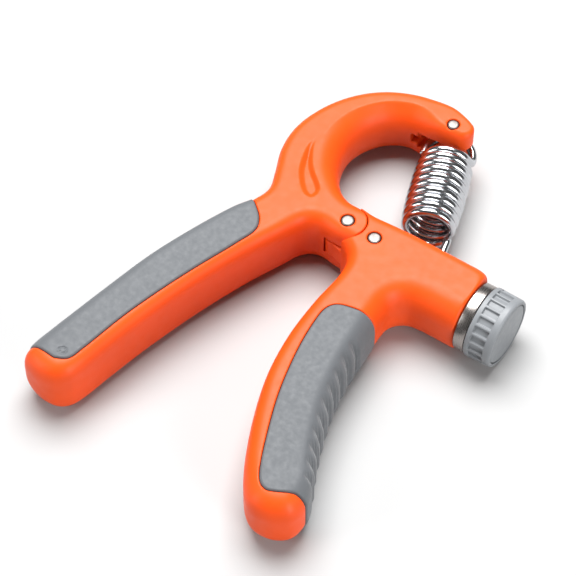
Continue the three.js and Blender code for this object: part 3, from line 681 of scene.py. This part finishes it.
class Shader:
    """A Principled material whose detail comes from procedural nodes in the object's own space."""

    def __init__(self, name, roughness, metallic=0.0, **sockets):
        self.material = bpy.data.materials.new(name)
        self.material.use_nodes = True
        self.tree = self.material.node_tree
        self.surface = self.tree.nodes["Principled BSDF"]
        self.surface.inputs["Roughness"].default_value = roughness
        self.surface.inputs["Metallic"].default_value = metallic
        for socket, value in sockets.items():
            self.surface.inputs[socket.replace("_", " ")].default_value = value
        self.place = self.tree.nodes.new("ShaderNodeTexCoord").outputs["Object"]

    def link(self, output, node, socket):
        self.tree.links.new(output, node.inputs[socket])

    def noise(self, feature, detail=2.0, stretch=(1, 1, 1)):
        """Noise whose features are about this many millimetres across, stretched along the axes."""
        scaling = self.tree.nodes.new("ShaderNodeMapping")
        scaling.inputs["Scale"].default_value = [1000 / feature / s for s in stretch]
        self.link(self.place, scaling, "Vector")
        node = self.tree.nodes.new("ShaderNodeTexNoise")
        node.inputs["Scale"].default_value = 1.0
        node.inputs["Detail"].default_value = detail
        self.link(scaling.outputs["Vector"], node, "Vector")
        return node.outputs["Fac"]

    def colours(self, factor, stops):
        node = self.tree.nodes.new("ShaderNodeValToRGB")
        elements = node.color_ramp.elements
        for element, (at, colour) in zip(elements, stops):
            element.position = at
            element.color = (*colour, 1)
        self.link(factor, node, "Fac")
        self.link(node.outputs["Color"], self.surface, "Base Color")

    def vary_roughness(self, factor, low, high):
        node = self.tree.nodes.new("ShaderNodeMapRange")
        node.inputs["From Min"].default_value = 0.3
        node.inputs["From Max"].default_value = 0.7
        node.inputs["To Min"].default_value = low
        node.inputs["To Max"].default_value = high
        self.link(factor, node, "Value")
        self.link(node.outputs["Result"], self.surface, "Roughness")

    def bump(self, factor, depth, strength=1.0):
        """Raises the surface by up to depth millimetres where the factor is high."""
        node = self.tree.nodes.new("ShaderNodeBump")
        node.inputs["Distance"].default_value = depth / 1000
        node.inputs["Strength"].default_value = strength
        self.link(factor, node, "Height")
        previous = self.surface.inputs["Normal"].links
        if previous:
            self.link(previous[0].from_socket, node, "Normal")
        self.link(node.outputs["Normal"], self.surface, "Normal")


def shade(colour, factor):
    return tuple(min(1.0, c * factor) for c in colour)


def orange_plastic():
    colour = (0.76, 0.072, 0.006)
    made = Shader("orange_moulded_plastic", 0.45, Specular_IOR_Level=0.22)
    made.colours(made.noise(14, 3), [(0.3, shade(colour, 0.96)), (0.7, shade(colour, 1.03))])
    made.vary_roughness(made.noise(3.0, 4), 0.40, 0.50)
    made.bump(made.noise(0.28, 2), 0.010)
    made.bump(made.noise(9.0, 1), 0.035)
    return made.material


def grey_rubber():
    colour = (0.084, 0.090, 0.098)
    made = Shader("grey_soft_rubber", 0.62, Sheen_Weight=0.15, Sheen_Roughness=0.5)
    made.colours(made.noise(11, 3), [(0.3, shade(colour, 0.98)), (0.7, shade(colour, 1.02))])
    made.vary_roughness(made.noise(1.6, 4), 0.55, 0.70)
    made.bump(made.noise(0.22, 3), 0.016)
    return made.material


def grey_plastic():
    colour = (0.186, 0.196, 0.208)
    made = Shader("grey_moulded_plastic", 0.45, Coat_Weight=0.05, Coat_Roughness=0.35)
    made.colours(made.noise(8, 3), [(0.3, shade(colour, 0.96)), (0.7, shade(colour, 1.03))])
    made.vary_roughness(made.noise(2.0, 4), 0.40, 0.52)
    made.bump(made.noise(0.25, 2), 0.010)
    return made.material


def chrome():
    made = Shader("spring_chrome", 0.18, 1.0)
    made.colours(made.noise(6, 2), [(0.3, (0.50, 0.51, 0.53)), (0.7, (0.56, 0.57, 0.59))])
    made.vary_roughness(made.noise(1.2, 4), 0.15, 0.22)
    made.bump(made.noise(1.4, 2), 0.002)
    return made.material


def polished_pin():
    made = Shader("pin_steel", 0.5, 1.0)
    made.colours(made.noise(1.5, 3), [(0.3, (0.19, 0.175, 0.165)), (0.7, (0.24, 0.225, 0.215))])
    made.vary_roughness(made.noise(0.5, 4), 0.44, 0.56)
    made.bump(made.noise(0.35, 3), 0.01)
    return made.material


def brushed_steel():
    """Lines run round the adjuster's axis, so they are fine along X and long across it."""
    made = Shader("brushed_collar_steel", 0.3, 1.0)
    lines = made.noise(0.10, 3, stretch=(1, 45, 45))
    made.colours(lines, [(0.3, (0.30, 0.275, 0.26)), (0.7, (0.35, 0.32, 0.305))])
    made.vary_roughness(lines, 0.24, 0.32)
    made.bump(lines, 0.0025)
    return made.material


def screw_steel():
    made = Shader("zinc_plated_steel", 0.35, 1.0)
    made.colours(made.noise(2, 4), [(0.3, (0.50, 0.50, 0.49)), (0.7, (0.66, 0.66, 0.64))])
    made.vary_roughness(made.noise(0.6, 4), 0.28, 0.45)
    return made.material


def brass():
    made = Shader("machined_brass", 0.32, 1.0)
    made.colours(made.noise(3, 4), [(0.3, (0.62, 0.43, 0.18)), (0.7, (0.78, 0.57, 0.27))])
    lines = made.noise(0.15, 2, stretch=(1, 30, 30))
    made.vary_roughness(lines, 0.25, 0.42)
    made.bump(lines, 0.006)
    return made.material


def nylon():
    made = Shader("white_nylon", 0.45, Subsurface_Weight=0.1)
    made.colours(made.noise(3, 3), [(0.3, (0.72, 0.71, 0.67)), (0.7, (0.80, 0.79, 0.75))])
    made.bump(made.noise(0.4, 2), 0.01)
    return made.material


# ---------------------------------------------------------------- placing pieces

MATERIALS = {
    "orange_plastic": orange_plastic(),
    "grey_rubber": grey_rubber(),
    "grey_plastic": grey_plastic(),
    "spring_chrome": chrome(),
    "pin_steel": polished_pin(),
    "brushed_collar": brushed_steel(),
    "screw_steel": screw_steel(),
    "brass": brass(),
    "nylon": nylon(),
}


def placed(piece, body, slot, *nodes):
    """Gives a piece the material that slot names, parents it to its body, and hides the CAD nodes that it
    stands for.

    A spring wire, which blended() only bakes in place, has None as its body.
    """
    piece.data.materials.append(MATERIALS[slot])
    if body:
        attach(piece, body)
    if nodes:
        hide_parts(*nodes)
    return piece


def keep_node(node, slot):
    """A CAD node that stays, with its better material."""
    mesh = frame["nodes"][node].data
    mesh.materials.clear()
    mesh.materials.append(MATERIALS[slot])


# ---------------------------------------------------------------- plans of the handles and pads

PALM = Plan(PALM_OUTLINE, PALM_EDGES)
FINGER = Plan(FINGER_OUTLINE, FINGER_EDGES)
PALM_PAD = Plan(PALM_PAD_ZONE)
FINGER_PAD = Plan(FINGER_PAD_ZONE)
TEAR_LEFT_SIDE = Plan(TEAR_LEFT)
TEAR_RIGHT_SIDE = Plan(TEAR_RIGHT)


def way_along(plan, point):
    """How far along its outline a point of the edge lies."""
    x, y = (np.array([value], float) for value in point)
    return float(plan.look(plan.along.astype(float), x, y)[0])


RIB_START = way_along(FINGER, (29.2, -40))
RIB_LENGTH = 9 * RIB_PITCH


# ---------------------------------------------------------------- the spring's own line

SPRING_RUN = CARRIAGE_PIN - SPRING_PIN
SPRING_REACH = float(np.linalg.norm(SPRING_RUN))
SPRING_DOWN = SPRING_RUN / SPRING_REACH
SPRING_SIDE = np.array([-SPRING_DOWN[1], SPRING_DOWN[0]])


def loop_reach(pin_radius, wire_radius):
    """How far a loop's wire centre lies beyond the pin that it hangs on."""
    return pin_radius + GAP + wire_radius


def spring_point(along, sideways, up=0.0):
    """A point from its distance down the spring's line, sideways, and through the thickness."""
    x, y = SPRING_PIN + along * SPRING_DOWN + sideways * SPRING_SIDE
    return np.array([x, y, up])


# ---------------------------------------------------------------- making the handles and pads

def make_handles():
    placed(solid_piece("palm_handle_shell", palm_frame, (-62, -106.5, -13), (18.5, 64, 13)),
           "palm_handle", "orange_plastic", "palm_handle_frame")
    placed(solid_piece("palm_soft_grip", palm_pad, (-62, -100, -13), (-21, -6, 13)),
           "palm_handle", "grey_rubber", "palm_grip_pad")
    placed(solid_piece("finger_handle_shell", finger_frame, (-9, -109, -13), (52.5, 10.5, 13)),
           "finger_handle", "orange_plastic", "finger_handle_frame")
    placed(solid_piece("finger_soft_grip", finger_pad, (12, -103, -13), (49.5, -25, 13), 0.36),
           "finger_handle", "grey_rubber", "finger_grip_pad")


# ---------------------------------------------------------------- pins

def pin(name, centre, radius, half_length, facets=40):
    """A dowel through the thickness, with slightly domed ends and a small chamfer."""
    chamfer = 0.3
    profile = [(0.35 * radius, half_length + 0.02), (0.7 * radius, half_length - 0.02),
               (radius - chamfer, half_length - 0.08), (radius - 0.08, half_length - chamfer),
               (radius, half_length - chamfer - 0.15)]
    rings = [(r, z) for r, z in profile] + [(r, -z) for r, z in reversed(profile)]
    angles = np.arange(facets) / facets * 2 * math.pi
    points = [
        (centre[0] + r * math.cos(a), centre[1] + r * math.sin(a), z)
        for r, z in rings
        for a in angles
    ]
    faces = []
    for i in range(len(rings) - 1):
        for j in range(facets):
            k = (j + 1) % facets
            a, b = i * facets, (i + 1) * facets
            faces.append((a + j, b + j, b + k, a + k))
    faces.append(tuple(range(facets)))
    faces.append(tuple(reversed(range((len(rings) - 1) * facets, len(rings) * facets))))
    return new_mesh(name, points, faces, 50)


def make_pins():
    end = HALF - FRAME_INSET - PIN_SINK
    placed(pin("pivot_dowel", PIVOT_POINT, PIN_RADIUS, end),
           "palm_handle", "pin_steel", "pivot_pin")
    placed(pin("anchor_dowel", ANCHOR_PIN, PIN_RADIUS, end),
           "finger_handle", "pin_steel", "screw_anchor_pin")
    placed(pin("spring_dowel", SPRING_PIN, SPRING_PIN_RADIUS, end),
           "spring_upper", "pin_steel", "spring_top_pin")
    placed(pin("carriage_dowel", CARRIAGE_PIN, CARRIAGE_PIN_RADIUS, CARRIAGE_PIN_HALF),
           "carriage", "pin_steel", "carriage_pin")


# ---------------------------------------------------------------- adjuster

COLLAR_LOW, COLLAR_HIGH = (from_frame(corner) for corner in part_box("adjuster_collar"))
KNOB_LOW, KNOB_HIGH = (from_frame(corner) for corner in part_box("adjuster_knob"))
COLLAR_RADIUS = COLLAR_HIGH[2]
KNOB_RADIUS = KNOB_HIGH[2]
CAP_RADIUS = from_frame(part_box("knob_end_cap")[1])[2]

BORE_RADIUS = 2.8
COLLAR_NECK_RADIUS = 5.6
TURNED_SEGMENTS = 128

KNOB_TAPER = 0.015
KNOB_RECESS_DEPTH = 1.2
KNOB_RECESS_RADIUS = 6.7
KNOB_SIDE_END = 7.6
KNOB_POCKETS = 22
POCKET_START = 1.5
POCKET_END = 7.2
POCKET_DEPTH = 0.9
POCKET_FADE = 0.35
POCKET_WIDTH = 0.80
POCKET_SIDE = 0.22
POCKET_INNER_RADIUS = 11
SCREW_WELL_RADIUS = 7.6
SCREW_WELL_DEPTH = 5
CAP_SEAT_DEPTH = 1.7
CAP_GAP = 0.25

SCREW_RADIUS = 2.5
SCREW_TIP_RADIUS = 1.6
SCREW_TIP_END_X = 17.2
SHANK_X = (17.4, 45.0)
SHANK_STEP = 0.12
THREAD_X = (18.0, 44.0)
THREAD_PITCH = 1.5
THREAD_DEPTH = 0.75
THREADED_ABOVE_RADIUS = 2.2


def make_collar():
    neck = COLLAR_LOW[0]
    start, end = HOUSING_END_X + 0.3, COLLAR_HIGH[0]
    corners = [(neck, BORE_RADIUS), (neck, COLLAR_NECK_RADIUS), (start, COLLAR_NECK_RADIUS),
               (start, COLLAR_RADIUS), (end, COLLAR_RADIUS), (end, BORE_RADIUS), (neck, BORE_RADIUS)]
    collar = revolved("collar_ring", softened(corners, 0.35), TURNED_SEGMENTS)
    placed(collar, "finger_handle", "brushed_collar", "adjuster_collar")


def pocket_relief(x, angle, radius):
    """Finger pockets round the knob's side: narrow lands between wide flat-bottomed hollows."""
    start, end = KNOB_LOW[0] + POCKET_START, KNOB_LOW[0] + POCKET_END
    ends = ramp((x - start) / POCKET_FADE) * ramp((end - x) / POCKET_FADE)
    from_middle = np.abs((angle / (2 * math.pi) * KNOB_POCKETS) % 1 - 0.5) * 2
    sides = ramp((POCKET_WIDTH - from_middle) / POCKET_SIDE)
    return radius - POCKET_DEPTH * ends * sides * (radius > POCKET_INNER_RADIUS)


def make_knob():
    low, high = KNOB_LOW[0], KNOB_HIGH[0]
    recess, side_end = low + KNOB_RECESS_DEPTH, low + KNOB_SIDE_END
    seat, seat_radius = high - CAP_SEAT_DEPTH, CAP_RADIUS + CAP_GAP
    well = high - SCREW_WELL_DEPTH
    side = [(x, KNOB_RADIUS - KNOB_TAPER * (x - low)) for x in np.arange(recess, side_end, 0.1)]
    back = softened([(recess, BORE_RADIUS), (recess, KNOB_RECESS_RADIUS), (low, KNOB_RECESS_RADIUS),
                     (low, KNOB_RADIUS), (recess, KNOB_RADIUS)], 0.3)
    front = softened([(side_end, KNOB_RADIUS - 0.12), (high - 0.8, KNOB_RADIUS - 0.15),
                      (high - 0.15, KNOB_RADIUS - 0.5), (high, KNOB_RADIUS - 0.9),
                      (high, seat_radius), (seat, seat_radius), (seat, SCREW_WELL_RADIUS),
                      (well, SCREW_WELL_RADIUS), (well, BORE_RADIUS)], 0.3, 6)
    profile = back + side[1:] + front + [back[0]]
    knob = revolved("knob_shell", profile, 16 * KNOB_POCKETS, pocket_relief, 30)
    placed(knob, "knob", "grey_plastic", "adjuster_knob")
    face = high - 0.08
    corners = [(seat + 0.3, 0.6), (seat + 0.3, CAP_RADIUS), (face - 0.35, CAP_RADIUS),
               (face - 0.08, CAP_RADIUS - 0.3), (face, CAP_RADIUS - 1.0), (face, 0.6)]
    cap = revolved("knob_face_disc", softened(corners, 0.2), TURNED_SEGMENTS)
    placed(cap, "knob", "grey_plastic", "knob_end_cap")


def thread_relief(x, angle, radius):
    """A right-hand thread on the screw's working length, fading in and out over one pitch."""
    turn = (x / THREAD_PITCH - angle / (2 * math.pi)) % 1
    crest = np.clip(1.25 - 2.5 * np.abs(turn - 0.5) * 1.25, 0, 1)
    start, end = THREAD_X
    working = ramp((x - start) / THREAD_PITCH) * ramp((end - x) / THREAD_PITCH)
    return radius - THREAD_DEPTH * (1 - crest) * working * (radius > THREADED_ABOVE_RADIUS)


def make_screw():
    low, high = (from_frame(corner)[0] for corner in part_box("adjuster_screw"))
    tip = [(low, 0.5), (low, SCREW_TIP_RADIUS - 0.2), (low + 0.2, SCREW_TIP_RADIUS),
           (SCREW_TIP_END_X, SCREW_TIP_RADIUS), (SCREW_TIP_END_X, SCREW_RADIUS - 0.2)]
    shank = [(x, SCREW_RADIUS) for x in np.arange(*SHANK_X, SHANK_STEP)]
    profile = tip + shank + [(high, SCREW_RADIUS), (high, 0.5)]
    screw = revolved("threaded_screw", profile, 36, thread_relief, 60)
    placed(screw, "knob", "screw_steel", "adjuster_screw")


def make_adjuster():
    make_collar()
    make_knob()
    make_screw()
    centre = CARRIAGE_PIN[0]
    low, high = (centre - 5.2, AXIS_Y - 6.4, -6.4), (centre + 5.2, 9.2, 6.4)
    placed(solid_piece("carriage_nut", carriage, low, high, 0.25), "carriage", "brass", "spring_carriage")
    keep_node("screw_end_bearing", "brass")
    keep_node("thrust_washer", "nylon")
    keep_node("knob_retaining_screw", "screw_steel")


# ---------------------------------------------------------------- spring

def eased(path, rounds):
    """The path with its corners eased by averaging, its two ends left in place."""
    path = np.array(path, float)
    for _ in range(rounds):
        path[1:-1] = (path[:-2] + 2 * path[1:-1] + path[2:]) / 4
    return path


def coil_point(turn):
    """The coil's wire centre: a barrel that is slimmer at its two ends."""
    share = turn / COIL_TURNS
    swell = np.interp(share, (0, 0.1, 0.3, 0.6, 0.85, 1), (-0.4, 0.05, 0.4, 0.4, 0, -0.45))
    radius = swell + COIL_RADIUS
    angle = 2 * math.pi * turn
    along = COIL_START + (COIL_END - COIL_START) * share
    return spring_point(along, radius * math.cos(angle), radius * math.sin(angle))


def coil_path(first_turn, last_turn):
    steps = int((last_turn - first_turn) * STEPS_PER_TURN)
    return [coil_point(turn) for turn in np.linspace(first_turn, last_turn, steps)]


def half_loop(bend_along, radius, outward, from_side):
    """Half a turn in the mid-plane round a pin, from one side of the spring's line to the other."""
    angles = np.linspace(0, math.pi, 40)
    return [
        spring_point(bend_along + outward * radius * math.sin(a), from_side * radius * math.cos(a))
        for a in angles
    ]


def make_spring():
    """The wire with the upper loop and the coil, then the lower hook that starts inside its last turn."""
    upper_bend = COIL_RADIUS - loop_reach(SPRING_PIN_RADIUS, WIRE_RADIUS)
    lower_bend = SPRING_REACH + loop_reach(CARRIAGE_PIN_RADIUS, LOOP_WIRE_RADIUS) - LOWER_LOOP_RADIUS
    tail_places = np.linspace(upper_bend + 0.9, upper_bend + 0.1, 6)
    tail = [spring_point(along, -COIL_RADIUS) for along in tail_places]
    upper = tail + half_loop(upper_bend, COIL_RADIUS, -1, -1)
    lead = [spring_point(COIL_START - 1.6 + 0.2 * i, COIL_RADIUS) for i in range(4)]
    path = eased(upper + lead + coil_path(0.055, COIL_TURNS - 0.05), 10)
    along = (path[:, :2] - SPRING_PIN) @ SPRING_DOWN
    share = np.clip((along - COIL_START) / (COIL_END - COIL_START), 0, 1)
    slimmer_end = np.interp(share, (0.84, 0.97), (WIRE_RADIUS, LOOP_WIRE_RADIUS))
    wire, ring_of = swept("spring_wire", path, slimmer_end)
    placed(wire, None, "spring_chrome", "spring_upper_loop", "spring_coil")
    share[: len(upper)] = 0
    blended(wire)

    turn_end = [coil_point(COIL_TURNS - turn) for turn in (0.1, 0.08, 0.06)]
    leg = [spring_point(COIL_END + a, COIL_RADIUS - 0.5 - 0.1 * a) for a in np.linspace(1.4, 6, 10)]
    crown = half_loop(lower_bend, LOWER_LOOP_RADIUS, 1, 1)
    end_places = np.linspace(lower_bend - 0.3, COIL_END + 4.2, 8)
    free_end = [spring_point(along, -LOWER_LOOP_RADIUS) for along in end_places]
    path = eased(turn_end + leg + crown + free_end, 6)
    hook, ring_of = swept("spring_lower_hook", path, LOOP_WIRE_RADIUS)
    placed(hook, None, "spring_chrome", "spring_lower_loop")
    along = (path[:, :2] - SPRING_PIN) @ SPRING_DOWN
    share = np.clip((along - COIL_END - 1) / (lower_bend - COIL_END - 1), 0, 1)
    blended(hook)


def blended(piece):
    """Bakes the wire's placement into its mesh; the wire is not bent between bodies."""
    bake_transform(piece)


# ---------------------------------------------------------------- stage, light and camera

FLOOR_Z = -0.0002
ORIGIN = (0, 0, 0)
CAMERA_PLACE = (0.2448, -0.3873, 0.6678)
CAMERA_TARGET = (-0.0085, -0.0046, 0.0125)


def aimed(place, target):
    """The rotation that points a lamp or the camera from its place at the target."""
    return (Vector(target) - Vector(place)).to_track_quat("-Z", "Y").to_euler()


def area_light(name, place, size, power):
    lamp = bpy.data.lights.new(name, "AREA")
    lamp.shape = "RECTANGLE"
    lamp.size, lamp.size_y = size
    lamp.energy = power
    made = bpy.data.objects.new(name, lamp)
    made.location = place
    made.rotation_euler = aimed(place, ORIGIN)
    bpy.context.scene.collection.objects.link(made)


def make_stage():
    bpy.ops.mesh.primitive_plane_add(size=6, location=(0, 0, FLOOR_Z))
    floor = bpy.context.object
    floor.name = "floor"
    paper = bpy.data.materials.new("pale_paper")
    paper.use_nodes = True
    surface = paper.node_tree.nodes["Principled BSDF"]
    surface.inputs["Base Color"].default_value = (0.42, 0.42, 0.42, 1)
    surface.inputs["Roughness"].default_value = 0.9
    floor.data.materials.append(paper)


def make_light():
    world = bpy.data.worlds.new("studio")
    bpy.context.scene.world = world
    world.use_nodes = True
    background = world.node_tree.nodes["Background"]
    background.inputs["Color"].default_value = (1, 1, 1, 1)
    background.inputs["Strength"].default_value = 0.10
    area_light("overhead", (-0.25, 0.35, 1.1), (1.0, 0.9), 37)
    area_light("right_box", (1.0, -0.30, 0.34), (0.4, 0.7), 9)
    area_light("left_fill", (-0.75, -0.85, 0.45), (0.45, 0.8), 6)


def make_camera():
    data = bpy.data.cameras.new("camera")
    data.lens = 150
    data.sensor_width = 36
    data.dof.use_dof = False
    camera = bpy.data.objects.new("camera", data)
    camera.location = CAMERA_PLACE
    camera.rotation_euler = aimed(CAMERA_PLACE, CAMERA_TARGET)
    bpy.context.scene.collection.objects.link(camera)
    bpy.context.scene.camera = camera


make_stage()
make_light()
make_camera()
make_handles()
make_pins()
make_adjuster()
make_spring()
bpy.context.scene.view_settings.view_transform = "Standard"
